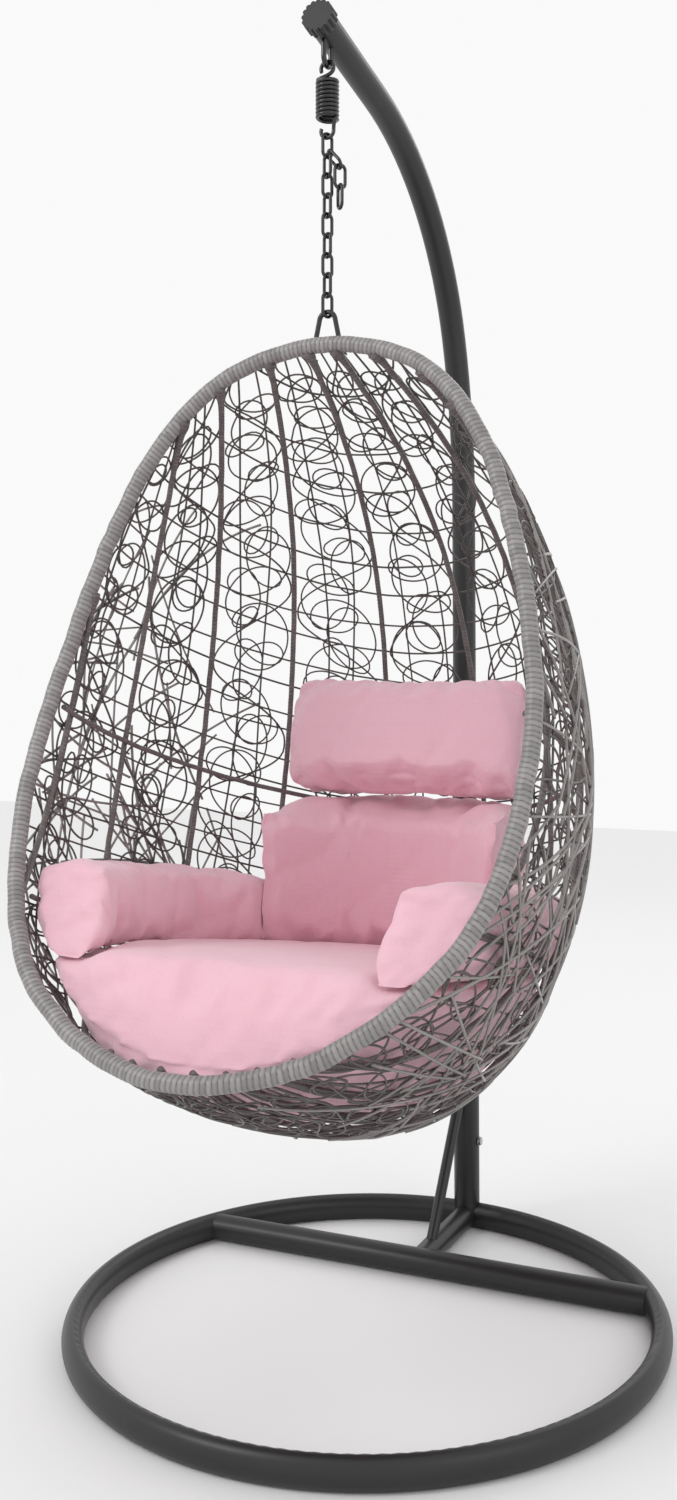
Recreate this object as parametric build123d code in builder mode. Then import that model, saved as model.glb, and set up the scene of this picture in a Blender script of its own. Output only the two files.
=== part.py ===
from build123d import *

import os
from math import cos, radians, sin, sqrt, tan

os.makedirs("parts", exist_ok=True)

# Hanging egg chair, millimetres. The origin is the centre of the base ring on the ground,
# +Z is up and the open side of the basket looks towards -Y.

# ---- stand ----
ring_radius = 450.0  # centreline of the base ring
ring_tube_width = 33.0  # oval tube, seen from above
ring_tube_height = 46.0
cross_bar_y = 214.0
cross_bar_diameter = 44.0
spur_diameter = 40.0
tube_wall = 2.0
weld_gap = 0.1  # between a tube and the tube that it is welded to

arm_diameter = 42.0
arm_lean = 0.8  # degrees forward from upright
arm_straight = 1330.0
arm_low_bend_radius = 906.0
arm_low_bend_end = 19.5  # degrees from upright
arm_high_bend_radius = 476.0
arm_high_bend_end = 78.0
arm_tip_straight = 196.0
arm_start_height = 110.0

socket_clearance = 0.3
socket_wall = 1.9
socket_height = 480.0
bolt_height = 160.0
bolt_diameter = 8.0
bolt_hole_clearance = 0.3
bolt_head_width = 13.0
bolt_head_height = 5.3
bolt_seat_gap = 0.2

brace_diameter = 19.0
brace_foot_y = 262.0
brace_top_height = 300.0

cap_diameter = 50.0
cap_thickness = 20.0
cap_lobes = 16
cap_lobe_diameter = 7.5
cap_stem_length = 28.0
cap_stem_clearance = 0.3

# ---- suspension ----
hang_y = -146.0  # the line that everything hangs on
eye_rod = 8.0
eye_bar_height = 1909.5  # middle of the bar that the spring hooks over
eye_half_gap = 12.0
link_gap = 0.3  # running gap between parts that hang on each other
spring_wire = 5.8
spring_hook_radius = 10.1
spring_coil_radius = 14.6
spring_coil_height = 58.0
spring_turns = 9.5
spring_hook_rise = 16.8  # hook centre to the nearest end of the coil
hook_end = 205.0  # degrees of ring from the side that joins the coil to the open end
chain_wire = 5.0
chain_length = 39.5  # outside length of one link
chain_width = 21.0
chain_count = 9
chain_yaw = 60.0  # the first link's plane, turned from the arm's; the next ones turn back and forth
# Spare links that hang beside the run, in the first link's own frame: place of the middle, then
# the turn about the vertical, the lean and the roll in degrees.
tail_first = ((8.5, 6.85, -20.85), -30.8, -33.5, 30.2)
tail_second = ((15.48, 11.85, -46.76), 76.7)
arch_rod = 7.5
arch_link_gap = 0.9  # the rod bends down inside the last link, so it needs more room there
arch_bend_radius = 12.75
arch_flare = 12.0
arch_foot_height = 1495.5

# ---- basket ----
# Level sections of the egg: height, half width, middle and half depth behind or before the hang line.
egg_sections = (
    (1525, 108, -175, 102),
    (1470, 170, -128, 168),
    (1390, 232, -81, 243),
    (1280, 294, -45, 328),
    (1150, 342, -35, 406),
    (1000, 377, -48, 475),
    (850, 389, -61, 514),
    (720, 377, -59, 510),
    (610, 342, -35, 474),
    (565, 321, -16, 446),
    (520, 298, 4, 415),
    (440, 236, 58, 333),
    (375, 164, 120, 232),
    (335, 95, 168, 136),
    (315, 40, 191, 60),
)
# Side view of the rim, from the top down: distance before the hang line and height.
mouth_line = (
    (-15.6, 1499),
    (-25, 1470),
    (-48, 1390),
    (-78, 1280),
    (-112, 1150),
    (-157, 1000),
    (-225, 850),
    (-290, 720),
    (-370, 610),
    (-394, 565),
    (-433, 532.5),
)
rim_diameter = 23.5
skin_wall = 3.0
skin_rim_gap = 1.8
rib_diameter = 9.0
rib_skin_gap = 2.2
rod_flat_gap = 0.5  # left between the skin and a rod flattened against it
hoop_diameter = 8.0
hoop_rib_gap = 0.4
# Each rib pair: share of the half rim where it starts, angle from the middle of the back, share where it ends.
rib_layout = (
    (0.015, 12.5, 0.985),
    (0.059, 37.0, 0.956),
    (0.119, 58.0, 0.927),
    (0.172, 78.0, 0.895),
    (0.380, 97.5, 0.696),
)
rib_angle_section = 5  # the angles are given in this level section
hoop_slope = 0.33
path_steps = 24  # points along a rib or a hoop
back_hoop_height = 920.0  # where its plane crosses the hang line
seat_hoop_height = 620.0

# ---- cushions ----
liner_inset = 22.9  # skin, ribs and hoops lie between the egg's outside and the cushions
cushion_gap = 0.4
cushion_rim_gap = 12.0
reach = 1200.0  # far enough to pass every side of the basket
seat_front_height = 606.0
seat_front_fall = 12.0
seat_middle_height = 624.0
seat_bottom_height = 420.0
seat_crown = (-300.0, 642.0)  # highest line of the seat, before the hang line
seat_back = (340.0, 548.0)
arm_slope_front = -330.0  # the arm cushions' tops slope down from here to there
arm_slope_back = 300.0
column_middle = -60.0
column_half_width = 252.0
column_half_depth = 360.0
arm_front_top = 768.0
arm_back_top = 668.0
back_half_width = 200.0
back_top_height = 806.0
pillow_width = 412.0
pillow_height = 192.0
pillow_thickness = 113.0
pillow_middle_height = 909.0
pillow_middle_y = 334.0
pillow_lean = 14.0  # degrees, top towards the hang line
pillow_corner = 24.0

# ---- worked out from the sizes above ----
ring_top = ring_tube_height
ring_middle_height = ring_tube_height / 2
arm_radius = arm_diameter / 2
socket_bore_radius = arm_radius + socket_clearance
socket_radius = socket_bore_radius + socket_wall
socket_diameter = 2 * socket_radius
lean = radians(arm_lean)
chain_pitch = chain_length - 2 * chain_wire - link_gap
chain_turn_radius = (chain_width - chain_wire) / 2
chain_side = chain_length - chain_width
rim_radius = rim_diameter / 2
rib_inset = skin_wall + rib_skin_gap + rib_diameter / 2
hoop_inset = skin_wall + rib_skin_gap + rib_diameter + hoop_rib_gap + hoop_diameter / 2

spring_top_hook_height = eye_bar_height + eye_rod / 2 + link_gap + spring_wire / 2 - spring_hook_radius
coil_top = spring_top_hook_height - spring_hook_rise
coil_bottom = coil_top - spring_coil_height
spring_low_hook_height = coil_bottom - spring_hook_rise
first_link_top = spring_low_hook_height - spring_hook_radius + spring_wire / 2 + link_gap + chain_wire / 2
first_link_middle = first_link_top - (chain_length - chain_wire) / 2
last_link_bottom = first_link_top - (chain_count - 1) * chain_pitch - (chain_length - chain_wire)
arch_top = last_link_bottom + chain_wire / 2 + arch_link_gap + arch_rod / 2


def arm_axis_y(height):
    """Distance of the leaning arm's axis from the ring's centre on its straight stretch."""
    return ring_radius - height * tan(lean)


def save(piece, name):
    piece.part.label = name
    export_step(piece.part, f"parts/{name}.step")


def egg_level(height, side, front, back):
    """One level section as a face."""
    with BuildSketch(Plane((0, hang_y + (front + back) / 2, height))) as level:
        Ellipse((back - front) / 2, side, rotation=-90)
    return level.sketch.face()


def egg_solid(inset, pointed=False):
    """The egg with its surface moved inwards by an inset, square to the surface."""
    levels = [(height, side, middle - depth, middle + depth) for height, side, middle, depth in egg_sections]
    bottom = levels[-1]
    with BuildPart() as egg:
        faces = []
        for number, (height, side, front, back) in enumerate(levels[:-1]):
            if height < bottom[0] + 1.5 * inset:
                continue
            above, below = levels[max(number - 1, 0)], levels[number + 1]
            rise = above[0] - below[0]
            side_in, front_in, back_in = (inset * sqrt(1 + ((above[item] - below[item]) / rise) ** 2)
                                          for item in (1, 2, 3))
            faces.append(egg_level(height, side - side_in, front + front_in, back - back_in))
        if pointed:
            faces.append(Vertex(0, hang_y + (bottom[2] + bottom[3]) / 2, bottom[0] + inset))
        else:
            faces.append(egg_level(bottom[0] + inset, *bottom[1:]))
        loft(faces)
    return egg.part


def mouth_block(setback):
    """Everything before the rim's side view, moved back by a setback, to cut the mouth with."""
    rim_places = [rim_line @ share for share in (0, 0.08, *(step / 12 for step in range(2, 11)), 0.92, 1)]
    rim_side = Edge.make_spline([Vector(place.Y, place.Z) for place in rim_places])
    side_points = []
    for step in range(path_steps + 1):
        place, along = rim_side @ (step / path_steps), rim_side % (step / path_steps)
        side_points.append((place.X - setback * along.Y, place.Y + setback * along.X))
    top_y, top_z = side_points[0]
    foot_z = side_points[-1][1]
    with BuildPart() as block:
        with BuildSketch(Plane.YZ):
            with BuildLine():
                Spline(side_points)
                Polyline(side_points[0], (top_y, top_z + reach), (top_y - reach, top_z + reach),
                         (top_y - reach, foot_z), side_points[-1])
            make_face()
        extrude(amount=reach, both=True)
    return block.part


# ---- base ring: oval tube bent to a circle ----
with BuildPart() as base_ring:
    with BuildSketch(Plane.XZ) as ring_section:
        with Locations((ring_radius, ring_middle_height)):
            Ellipse(ring_tube_width / 2, ring_tube_height / 2)
            Ellipse(ring_tube_width / 2 - tube_wall, ring_tube_height / 2 - tube_wall, mode=Mode.SUBTRACT)
    revolve(axis=Axis.Z)

save(base_ring, "base_ring")

with BuildPart() as ring_cope:
    with BuildSketch(Plane.XZ):
        with Locations((ring_radius, ring_middle_height)):
            Ellipse(ring_tube_width / 2 + weld_gap, ring_tube_height / 2 + weld_gap)
    revolve(axis=Axis.Z)

# ---- cross bar: a chord of the ring, its ends coped to the tube ----
cross_bar_half = sqrt(ring_radius**2 - cross_bar_y**2)
cross_bar_radius = cross_bar_diameter / 2
with BuildPart() as cross_bar:
    with BuildSketch(Plane.YZ):
        with Locations((cross_bar_y, ring_middle_height)):
            Circle(cross_bar_radius)
            Circle(cross_bar_radius - tube_wall, mode=Mode.SUBTRACT)
    extrude(amount=cross_bar_half, both=True)
    add(ring_cope.part, mode=Mode.SUBTRACT)
save(cross_bar, "cross_bar")

# ---- spur: from the cross bar back to the ring below the post ----
spur_radius = spur_diameter / 2
spur_plane = Plane.XZ.offset(-cross_bar_y)
spur_length = ring_radius - cross_bar_y
with BuildPart() as base_spur:
    with BuildSketch(spur_plane):
        with Locations((0, ring_middle_height)):
            Circle(spur_radius)
            Circle(spur_radius - tube_wall, mode=Mode.SUBTRACT)
    extrude(amount=-spur_length)
    add(ring_cope.part, mode=Mode.SUBTRACT)
    with BuildSketch(Plane.YZ):
        with Locations((cross_bar_y, ring_middle_height)):
            Circle(cross_bar_radius + weld_gap)
    extrude(amount=spur_diameter, both=True, mode=Mode.SUBTRACT)
save(base_spur, "base_spur")

with BuildPart() as spur_cope:
    with BuildSketch(spur_plane):
        with Locations((0, ring_middle_height)):
            Circle(spur_radius + weld_gap)
    extrude(amount=-spur_length)

# ---- socket: leaning tube on the ring that takes the arm ----
socket_foot = Plane(origin=(0, ring_radius, 0), x_dir=(1, 0, 0), z_dir=(0, -sin(lean), cos(lean)))
with BuildPart() as socket_post:
    with BuildSketch(socket_foot.offset(ring_middle_height)):
        Circle(socket_radius)
        Circle(socket_bore_radius, mode=Mode.SUBTRACT)
    extrude(amount=socket_height - ring_middle_height)
    add(ring_cope.part, mode=Mode.SUBTRACT)
    add(spur_cope.part, mode=Mode.SUBTRACT)
    with BuildSketch(Plane.YZ):
        with Locations((arm_axis_y(bolt_height), bolt_height)):
            Circle(bolt_diameter / 2 + bolt_hole_clearance)
    extrude(amount=socket_diameter, both=True, mode=Mode.SUBTRACT)
save(socket_post, "socket_post")

# ---- brace: slim tube from the spur up to the socket, coped at both ends ----
brace_foot = Vector(0, brace_foot_y, ring_middle_height)
brace_head = Vector(0, arm_axis_y(brace_top_height), brace_top_height)
with BuildPart() as brace_rod:
    with BuildSketch(Plane(origin=brace_foot, x_dir=(1, 0, 0), z_dir=brace_head - brace_foot)):
        Circle(brace_diameter / 2)
    extrude(amount=(brace_head - brace_foot).length)
    with BuildSketch(socket_foot):
        Circle(socket_radius + weld_gap)
    extrude(amount=socket_height, mode=Mode.SUBTRACT)
    add(spur_cope.part, mode=Mode.SUBTRACT)
save(brace_rod, "brace_rod")

# ---- curved arm: tube in the socket, rising and bending over the basket ----
arm_start = (arm_axis_y(arm_start_height), arm_start_height)
with BuildPart() as curved_arm:
    with BuildLine(Plane.YZ) as arm_path:
        arm_run = PolarLine(arm_start, arm_straight - arm_start_height, 90 + arm_lean)
        low_bend = JernArc(arm_run @ 1, arm_run % 1, arm_low_bend_radius, arm_low_bend_end - arm_lean)
        high_bend = JernArc(low_bend @ 1, low_bend % 1, arm_high_bend_radius,
                            arm_high_bend_end - arm_low_bend_end)
        arm_tip = PolarLine(high_bend @ 1, arm_tip_straight, 90 + arm_high_bend_end)
    tip_point = arm_tip @ 1
    tip_direction = arm_tip % 1
    with BuildSketch(Plane(origin=arm_run @ 0, x_dir=(1, 0, 0), z_dir=arm_run % 0)):
        Circle(arm_radius)
        Circle(arm_radius - tube_wall, mode=Mode.SUBTRACT)
    sweep()
    with BuildSketch(Plane.YZ):
        with Locations((arm_axis_y(bolt_height), bolt_height)):
            Circle(bolt_diameter / 2 + bolt_hole_clearance)
    extrude(amount=socket_diameter, both=True, mode=Mode.SUBTRACT)
save(curved_arm, "curved_arm")

# ---- bolt through the socket and the arm ----
bolt_plane = Plane(origin=(0, arm_axis_y(bolt_height), bolt_height), x_dir=(0, 1, 0), z_dir=(1, 0, 0))
bolt_seat = socket_radius + bolt_seat_gap
with BuildPart() as socket_bolt:
    with BuildSketch(bolt_plane.offset(-bolt_seat - bolt_head_height * 1.6)):
        Circle(bolt_diameter / 2)
    extrude(amount=2 * bolt_seat + bolt_head_height * 1.6)
    with BuildSketch(bolt_plane.offset(bolt_seat)):
        RegularPolygon(bolt_head_width / 2, 6, major_radius=False)
    extrude(amount=bolt_head_height)
    with BuildSketch(bolt_plane.offset(bolt_seat)):
        Circle(bolt_head_width * 0.65)
    extrude(amount=1.6)
save(socket_bolt, "socket_bolt")

with BuildPart() as bolt_nut:
    with BuildSketch(bolt_plane.offset(-bolt_seat)):
        RegularPolygon(bolt_head_width / 2, 6, major_radius=False)
        Circle(bolt_diameter / 2 + 0.05, mode=Mode.SUBTRACT)
    extrude(amount=-bolt_head_height * 1.2)
save(bolt_nut, "bolt_nut")

# ---- end cap: lobed knob with a stem in the arm's open end ----
cap_plane = Plane(origin=tip_point, x_dir=(1, 0, 0), z_dir=tip_direction)
with BuildPart() as arm_end_cap:
    with BuildSketch(cap_plane):
        Circle(cap_diameter / 2 - cap_lobe_diameter / 3)
        with PolarLocations(cap_diameter / 2 - cap_lobe_diameter / 2, cap_lobes):
            Circle(cap_lobe_diameter / 2)
    extrude(amount=cap_thickness)
    with BuildSketch(cap_plane):
        Circle(arm_radius - tube_wall - cap_stem_clearance)
    extrude(amount=-cap_stem_length)
save(arm_end_cap, "arm_end_cap")

# ---- hanging eye: rod bent to a staple under the arm, its legs coped to the tube ----
eye_leg = 2 * arm_radius
eye_bend_height = eye_bar_height + eye_half_gap
with BuildPart() as hanging_eye:
    with BuildLine(Plane.YZ):
        front_leg = PolarLine((hang_y - eye_half_gap, eye_bend_height + eye_leg), eye_leg, -90)
        eye_bend = JernArc(front_leg @ 1, front_leg % 1, eye_half_gap, 180)
        PolarLine(eye_bend @ 1, eye_leg, 90)
    with BuildSketch(Plane(origin=front_leg @ 0, x_dir=(1, 0, 0), z_dir=front_leg % 0)):
        Circle(eye_rod / 2)
    sweep()
    with BuildSketch(cap_plane):
        Circle(arm_radius + weld_gap)
    extrude(amount=-arm_tip_straight, mode=Mode.SUBTRACT)
    eye_pieces = hanging_eye.solids().sort_by(Axis.Z)
    for offcut in eye_pieces[1:]:
        add(offcut, mode=Mode.SUBTRACT)
save(hanging_eye, "hanging_eye")

# ---- suspension spring: close coil, each end bent out to an open hook ----
spring_plane = Plane(origin=(0, hang_y, coil_bottom), x_dir=(0, 1, 0), z_dir=(0, 0, 1))


def hook_point(centre_height, angle):
    """A point on a hook's ring, in the spring's own plane, by its angle from the right side."""
    across = spring_hook_radius * cos(radians(angle))
    return (0, -across, centre_height + spring_hook_radius * sin(radians(angle)))


with BuildPart() as suspension_spring:
    with BuildLine(spring_plane):
        coil = Helix(pitch=spring_coil_height / spring_turns, height=spring_coil_height, radius=spring_coil_radius)
        top_centre = spring_coil_height + spring_hook_rise
        top_hook = ThreePointArc([hook_point(top_centre, angle) for angle in (0, hook_end / 2, hook_end)])
        top_neck = Spline([coil @ 1, top_hook @ 0], tangents=[coil % 1, top_hook % 0])
        low_hook = ThreePointArc([hook_point(-spring_hook_rise, -angle) for angle in (hook_end, hook_end / 2, 0)])
        low_neck = Spline([low_hook @ 1, coil @ 0], tangents=[low_hook % 1, coil % 0])
    for run in (low_hook, low_neck, coil, top_neck, top_hook):
        with BuildSketch(Plane(origin=run @ 0, z_dir=run % 0)):
            Circle(spring_wire / 2)
        sweep(path=run)
save(suspension_spring, "suspension_spring")


# ---- chain: round wire links, each a quarter turn from the next ----
def link_plane(middle, yaw, lean_out=0, roll=0):
    """A link's middle plane, with y along the link: turned about the vertical, leant and rolled."""
    return Plane(Pos(middle) * Rot(Z=yaw) * Rot(Y=lean_out) * Rot(X=roll) * Plane.XZ.location)


def chain_link(place):
    """One closed link of round wire in a middle plane."""
    with BuildPart() as link:
        with BuildLine(place):
            half_side = chain_side / 2
            right_side = Line((chain_turn_radius, -half_side), (chain_turn_radius, half_side))
            top_turn = JernArc(right_side @ 1, right_side % 1, chain_turn_radius, 180)
            left_side = Line(top_turn @ 1, (-chain_turn_radius, -half_side))
            JernArc(left_side @ 1, left_side % 1, chain_turn_radius, 180)
        with BuildSketch(Plane(origin=right_side @ 0, z_dir=right_side % 0)):
            Circle(chain_wire / 2)
        sweep()
    return link.part


def main_chain(first, last):
    """Links first to last of the main run, counted from the spring."""
    with BuildPart() as run:
        for number in range(first, last + 1):
            middle = first_link_middle - (number - 1) * chain_pitch
            add(chain_link(link_plane((0, hang_y, middle), chain_yaw - 90 * ((number - 1) % 2))))
    return run


save(main_chain(1, 2), "chain_top_links")
save(main_chain(3, chain_count - 1), "chain_links")
save(main_chain(chain_count, chain_count), "chain_bottom_link")

# ---- spare links: hooked through the first link, hanging beside the run ----
tail_turn = chain_yaw - 90
tail_origin = Pos(0, hang_y, first_link_middle) * Rot(Z=tail_turn)
first_offset, first_yaw, first_lean, first_roll = tail_first
second_offset, second_yaw = tail_second
with BuildPart() as chain_tail_link:
    add(chain_link(link_plane((tail_origin * Pos(first_offset)).position, first_yaw + tail_turn,
                              first_lean, first_roll)))
save(chain_tail_link, "chain_tail_link")

with BuildPart() as chain_tail:
    for number in range(2):
        middle = (tail_origin * Pos(second_offset)).position - Vector(0, 0, number * chain_pitch)
        add(chain_link(link_plane(middle, second_yaw + tail_turn + 90 * number)))
save(chain_tail, "chain_tail")


# ---- rim: round tube along the mouth of the basket ----
def rim_half_width(level):
    """Half width of the egg where the rim's side view crosses one of its level sections."""
    height, half_width, middle, half_depth = level
    forward = next(y for y, z in mouth_line if z == height)
    return half_width * sqrt(1 - ((forward - middle) / half_depth) ** 2)


mouth_side = {z: y for y, z in mouth_line}
right_rim = [(rim_half_width(level), hang_y + mouth_side[level[0]], level[0])
             for level in egg_sections if level[0] in mouth_side]
rim_top = (0, hang_y + mouth_line[0][0], mouth_line[0][1])
rim_foot = (0, hang_y + mouth_line[-1][0], mouth_line[-1][1])

with BuildPart() as rim_tube:
    with BuildLine() as rim_path:
        Spline([rim_top, *right_rim, rim_foot], tangents=[(1, 0, 0), (-1, 0, 0)], tangent_scalars=(1, 1))
    rim_line = rim_path.wires()[0]
    with BuildSketch(Plane(origin=rim_line @ 0, z_dir=rim_line % 0)):
        Circle(rim_radius)
    sweep()
    mirror(about=Plane.YZ)
save(rim_tube, "rim_tube")

with BuildPart() as rim_cope:
    with BuildSketch(Plane(origin=rim_line @ 0, z_dir=rim_line % 0)):
        Circle(rim_radius + weld_gap)
    sweep(path=rim_line)
    mirror(about=Plane.YZ)

# ---- hanging arch: flared rod welded behind the top of the rim ----
arch_side = arch_bend_radius * cos(radians(arch_flare))
arch_shoulder = arch_top - arch_bend_radius + arch_bend_radius * sin(radians(arch_flare))
arch_leg = (arch_shoulder - arch_foot_height) / cos(radians(arch_flare))
arch_foot_side = arch_side + arch_leg * sin(radians(arch_flare))
with BuildPart() as hanging_arch:
    with BuildLine(Plane.XZ.offset(-hang_y)):
        right_leg = PolarLine((arch_foot_side, arch_foot_height), arch_leg, 90 + arch_flare)
        arch_bend = JernArc(right_leg @ 1, right_leg % 1, arch_bend_radius, 180 - 2 * arch_flare)
        PolarLine(arch_bend @ 1, arch_leg, 270 - arch_flare)
    with BuildSketch(Plane(origin=right_leg @ 0, x_dir=(0, 1, 0), z_dir=right_leg % 0)):
        Circle(arch_rod / 2)
    sweep()
save(hanging_arch, "hanging_arch")


# ---- ribs and hoops: rods inside the skin, each lying in one flat plane ----
mouth = mouth_block(0)


def basket_core(inset):
    """The egg behind its mouth, drawn in by an inset: the rods' middles lie on its surface."""
    with BuildPart() as core:
        add(egg_solid(inset, pointed=True))
        add(mouth, mode=Mode.SUBTRACT)
    return core.part


def rod_on_core(core, cut_plane, rod_radius):
    """A rod along the line that a plane cuts round the back of a core, coped to the rim."""
    outline = section(core, section_by=cut_plane, mode=Mode.PRIVATE).edges()
    cut_line = Wire([edge for edge in outline if mouth.distance_to(Vertex(*(edge @ 0.5))) > rod_radius])
    with BuildPart() as rod:
        with BuildLine() as rod_path:
            Spline([cut_line @ (step / path_steps) for step in range(path_steps + 1)])
        rod_line = rod_path.wires()[0]
        with BuildSketch(Plane(origin=rod_line @ 0, z_dir=rod_line % 0)):
            Circle(rod_radius)
        sweep()
        add(rim_cope.part, mode=Mode.SUBTRACT)
        add(skin_inside, mode=Mode.INTERSECT)
    return rod


skin_inside = egg_solid(skin_wall + rod_flat_gap)
rib_core = basket_core(rib_inset)
angle_height, angle_half_width, angle_middle, angle_half_depth = egg_sections[rib_angle_section]
for number, (start_share, back_angle, end_share) in enumerate(rib_layout, start=1):
    rib_start = rim_line @ start_share
    rib_end = rim_line @ end_share
    rib_back = Vector(angle_half_width * sin(radians(back_angle)),
                      hang_y + angle_middle + angle_half_depth * cos(radians(back_angle)), angle_height)
    rib_normal = (rib_back - rib_start).cross(rib_end - rib_start)
    right_rib = rod_on_core(rib_core, Plane(origin=rib_start, z_dir=rib_normal), rib_diameter / 2)
    save(right_rib, f"rib_right_{number}")
    with BuildPart() as left_rib:
        add(mirror(right_rib.part, about=Plane.YZ, mode=Mode.PRIVATE))
    save(left_rib, f"rib_left_{number}")

hoop_core = basket_core(hoop_inset)
for name, hoop_height in (("back_hoop", back_hoop_height), ("seat_hoop", seat_hoop_height)):
    hoop_plane = Plane(origin=(0, hang_y, hoop_height), x_dir=(1, 0, 0), z_dir=(0, hoop_slope, 1))
    save(rod_on_core(hoop_core, hoop_plane, hoop_diameter / 2), name)

# ---- woven skin: thin shell behind the rim ----
with BuildPart() as hollow_egg:
    add(egg_solid(0))
    add(mouth_block(rim_radius + skin_rim_gap), mode=Mode.SUBTRACT)
    add(egg_solid(skin_wall), mode=Mode.SUBTRACT)

with BuildPart() as woven_shell:
    add(hollow_egg.solids().sort_by(SortBy.VOLUME)[-1])
save(woven_shell, "woven_shell")


# ---- cushions: they lie inside the ribs and hoops ----
def side_slab(outline, inner_x, outer_x):
    """A slab with a side-view outline, from one distance beside the middle to another."""
    with BuildPart() as slab:
        with BuildSketch(Plane.YZ.offset(inner_x)):
            Polygon(*[(hang_y + y, z) for y, z in outline], align=None)
        extrude(amount=outer_x - inner_x)
    return slab.part


with BuildPart() as liner:
    add(egg_solid(liner_inset))
    add(mouth_block(rim_radius + cushion_rim_gap), mode=Mode.SUBTRACT)

# The free space in the middle: the arm and back cushions stand round this oval column.
with BuildPart() as free_column:
    with BuildSketch(Plane((0, hang_y + column_middle, 0))):
        Ellipse(column_half_width, column_half_depth)
    extrude(amount=reach)

seat_top = [(-reach, seat_front_height - seat_front_fall), (-430, seat_front_height), seat_crown,
            (-140, seat_middle_height), seat_back, (reach, seat_back[1] - seat_front_fall)]
above_seat = [(y, z + cushion_gap) for y, z in seat_top]
with BuildPart() as seat_cushion:
    add(liner.part)
    add(side_slab([*seat_top, (reach, seat_bottom_height), (-reach, seat_bottom_height)], -reach, reach),
        mode=Mode.INTERSECT)
save(seat_cushion, "seat_cushion")

arm_top = [(reach, arm_back_top), (arm_slope_back, arm_back_top), (arm_slope_front, arm_front_top),
           (-reach, arm_front_top)]
with BuildPart() as right_arm_cushion:
    add(liner.part)
    add(side_slab([*above_seat, *arm_top], back_half_width + cushion_gap, reach), mode=Mode.INTERSECT)
    add(free_column.part, mode=Mode.SUBTRACT)
save(right_arm_cushion, "right_arm_cushion")

with BuildPart() as left_arm_cushion:
    add(mirror(right_arm_cushion.part, about=Plane.YZ, mode=Mode.PRIVATE))
save(left_arm_cushion, "left_arm_cushion")

with BuildPart() as back_cushion:
    add(liner.part)
    add(side_slab([*above_seat[3:], (reach, back_top_height), (above_seat[3][0], back_top_height)],
                  -back_half_width, back_half_width), mode=Mode.INTERSECT)
    add(free_column.part, mode=Mode.SUBTRACT)
save(back_cushion, "back_cushion")

# ---- headrest: a leaning pillow before the back of the basket ----
pillow_plane = Plane(origin=(0, hang_y + pillow_middle_y, pillow_middle_height), x_dir=(1, 0, 0),
                     z_dir=(0, -cos(radians(pillow_lean)), sin(radians(pillow_lean))))
with BuildPart() as headrest_pillow:
    with BuildSketch(pillow_plane):
        RectangleRounded(pillow_width, pillow_height, pillow_corner)
    extrude(amount=pillow_thickness / 2, both=True)
    fillet(headrest_pillow.faces().filter_by(pillow_plane).edges(), pillow_corner)
    add(liner.part, mode=Mode.INTERSECT)
save(headrest_pillow, "headrest_pillow")
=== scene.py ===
import bpy
import math
import numpy as np
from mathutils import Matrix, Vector, noise
from mathutils.bvhtree import BVHTree


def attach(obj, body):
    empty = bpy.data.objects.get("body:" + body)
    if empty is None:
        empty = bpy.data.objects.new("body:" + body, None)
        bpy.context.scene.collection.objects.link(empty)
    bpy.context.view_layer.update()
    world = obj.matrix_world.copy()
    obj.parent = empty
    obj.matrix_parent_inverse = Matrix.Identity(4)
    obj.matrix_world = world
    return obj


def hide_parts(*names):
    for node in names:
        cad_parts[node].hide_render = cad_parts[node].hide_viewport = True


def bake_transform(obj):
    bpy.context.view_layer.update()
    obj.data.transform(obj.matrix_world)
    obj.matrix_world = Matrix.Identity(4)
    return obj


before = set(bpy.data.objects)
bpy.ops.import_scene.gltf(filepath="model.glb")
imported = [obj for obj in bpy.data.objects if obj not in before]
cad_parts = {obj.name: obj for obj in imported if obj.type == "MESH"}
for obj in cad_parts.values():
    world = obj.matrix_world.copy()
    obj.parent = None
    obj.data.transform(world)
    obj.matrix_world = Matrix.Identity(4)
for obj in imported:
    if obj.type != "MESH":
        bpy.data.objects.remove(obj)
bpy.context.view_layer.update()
bpy.ops.object.select_all(action="DESELECT")
print("frame loaded")

# the basket's own sizes, the same as the part's, in millimetres
basket = {
    "hangY": -146.0,
    "levels": [(1525, 108, -175, 102), (1470, 170, -128, 168), (1390, 232, -81, 243), (1280, 294, -45, 328),
               (1150, 342, -35, 406), (1000, 377, -48, 475), (850, 389, -61, 514), (720, 377, -59, 510),
               (610, 342, -35, 474), (565, 321, -16, 446), (520, 298, 4, 415), (440, 236, 58, 333),
               (375, 164, 120, 232), (335, 95, 168, 136), (315, 40, 191, 60)],
    "mouth": [(-15.6, 1499), (-25, 1470), (-48, 1390), (-78, 1280), (-112, 1150), (-157, 1000), (-225, 850),
              (-290, 720), (-370, 610), (-394, 565), (-433, 532.5)],
    "ribs": [(0.015, 12.5, 0.985), (0.059, 37.0, 0.956), (0.119, 58.0, 0.927), (0.172, 78.0, 0.895),
             (0.380, 97.5, 0.696)],
    "angleLevel": 5,
    "hoopSlope": 0.33,
    "hoops": {"back_hoop": 920.0, "seat_hoop": 620.0},
    "ribInset": 9.7,
    "hoopInset": 18.6,
    "rimRadius": 11.75,
}
eggCentre = np.array([0.0, -0.10, 0.85])  # every ray from here meets the skin once
trace = {  # how finely lines on the skin are worked out, in metres
    "halvings": 26,
    "farOut": 1.4,
    "ribFarOut": 1.5,
    "normalStep": 0.004,
    "ribPoints": 240,
    "hoopPoints": 361,
    "rimPoints": 600,
    "rimStep": 0.003,
    "rodStep": 0.004,
    "hoopFromMouth": 0.006,
}
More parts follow.
